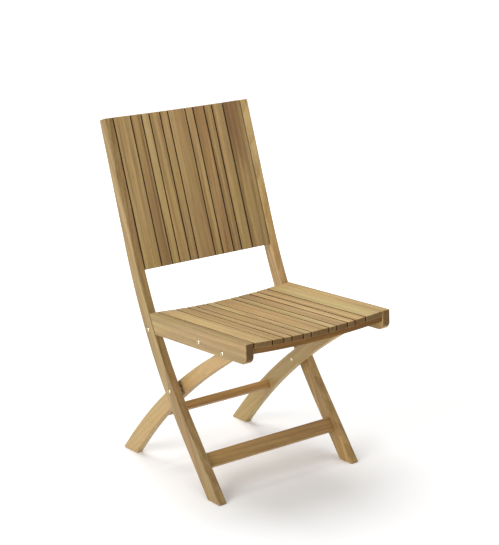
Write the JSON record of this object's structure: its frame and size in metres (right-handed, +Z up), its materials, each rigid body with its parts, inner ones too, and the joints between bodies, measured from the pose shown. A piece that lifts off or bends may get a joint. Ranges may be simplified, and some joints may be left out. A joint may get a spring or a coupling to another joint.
{
  "type": "folding chair",
  "caption": "Slatted wooden folding chair: dished seat and back, bowed front uprights crossing the rear legs at a scissor pivot, with hidden metal stays.",
  "frame": {"origin": "Centre of the bounding box's footprint, on the floor, chair open.", "axes": "+Z up; the sitter faces -Y; +X is across the chair, towards the sitter's left hand."},
  "size_m": [0.4654, 0.607, 0.9006],
  "materials": {
    "teak_frame": "sanded, oiled, satin",
    "teak_slats": "sanded, oiled, satin",
    "pivot_nickel": "domed and polished",
    "bush_steel": "turned, satin",
    "screw_steel": "plain",
    "stay_brass": "satin, lightly aged"
  },
  "bodies": {
    "back_frame": {"stile_left": "teak_frame", "stile_right": "teak_frame", "front_rung": "teak_frame", "back_rail_upper": "teak_frame", "back_rail_lower": "teak_frame", "back_slat_01": "teak_slats", "back_slat_02": "teak_slats", "back_slat_03": "teak_slats", "back_slat_04": "teak_slats", "back_slat_05": "teak_slats", "back_slat_06": "teak_slats", "back_slat_07": "teak_slats", "back_slat_08": "teak_slats", "back_slat_09": "teak_slats", "back_slat_10": "teak_slats", "back_slat_11": "teak_slats", "back_screws": "screw_steel", "scissor_bolts": "pivot_nickel", "scissor_nuts": "pivot_nickel", "scissor_bushes": "bush_steel", "stile_studs": "pivot_nickel"},
    "rear_leg_frame": {"rear_leg_left": "teak_frame", "rear_leg_right": "teak_frame", "rear_rung": "teak_frame", "leg_top_rail": "teak_frame", "seat_pivot_bolts": "pivot_nickel", "seat_pivot_bushes": "bush_steel"},
    "seat": {"seat_rail_left": "teak_frame", "seat_rail_right": "teak_frame", "seat_batten_front": "teak_frame", "seat_batten_middle": "teak_frame", "seat_batten_rear": "teak_frame", "seat_slat_01": "teak_slats", "seat_slat_02": "teak_slats", "seat_slat_03": "teak_slats", "seat_slat_04": "teak_slats", "seat_slat_05": "teak_slats", "seat_slat_06": "teak_slats", "seat_slat_07": "teak_slats", "seat_slat_08": "teak_slats", "seat_slat_09": "teak_slats", "seat_slat_10": "teak_slats", "seat_slat_11": "teak_slats", "seat_screws": "screw_steel", "stay_bolts": "pivot_nickel", "stay_nuts": "pivot_nickel", "stay_washers": "bush_steel"},
    "link_left": {"stay_left": "stay_brass", "stay_rivet_left": "stay_brass"},
    "link_right": {"stay_right": "stay_brass", "stay_rivet_right": "stay_brass"}
  },
  "joints": [
    {"name": "fold", "type": "hinge", "parent": "back_frame", "child": "rear_leg_frame", "pos_m": [0, 0.01321, 0.2425], "axis": [-1, 0, 0], "range_deg": [0, 69.52]},
    {"name": "seat_fold", "type": "hinge", "parent": "rear_leg_frame", "child": "seat", "pos_m": [0, -0.20849, 0.402], "axis": [1, 0, 0], "range_deg": [0, 142.74]},
    {"name": "stay_fold_left", "type": "hinge", "parent": "seat", "child": "link_left", "pos_m": [0, -0.11209, 0.4062], "axis": [-1, 0, 0], "range_deg": [0, 158.85]},
    {"name": "stay_fold_right", "type": "hinge", "parent": "seat", "child": "link_right", "pos_m": [0, -0.11209, 0.4062], "axis": [-1, 0, 0], "range_deg": [0, 158.85]}
  ],
  "couplings": [
    {"joint": "seat_fold", "follows": "fold", "ratio": 2.0532},
    {"joint": "stay_fold_left", "follows": "fold", "ratio": 2.2849},
    {"joint": "stay_fold_right", "follows": "fold", "ratio": 2.2849}
  ]
}
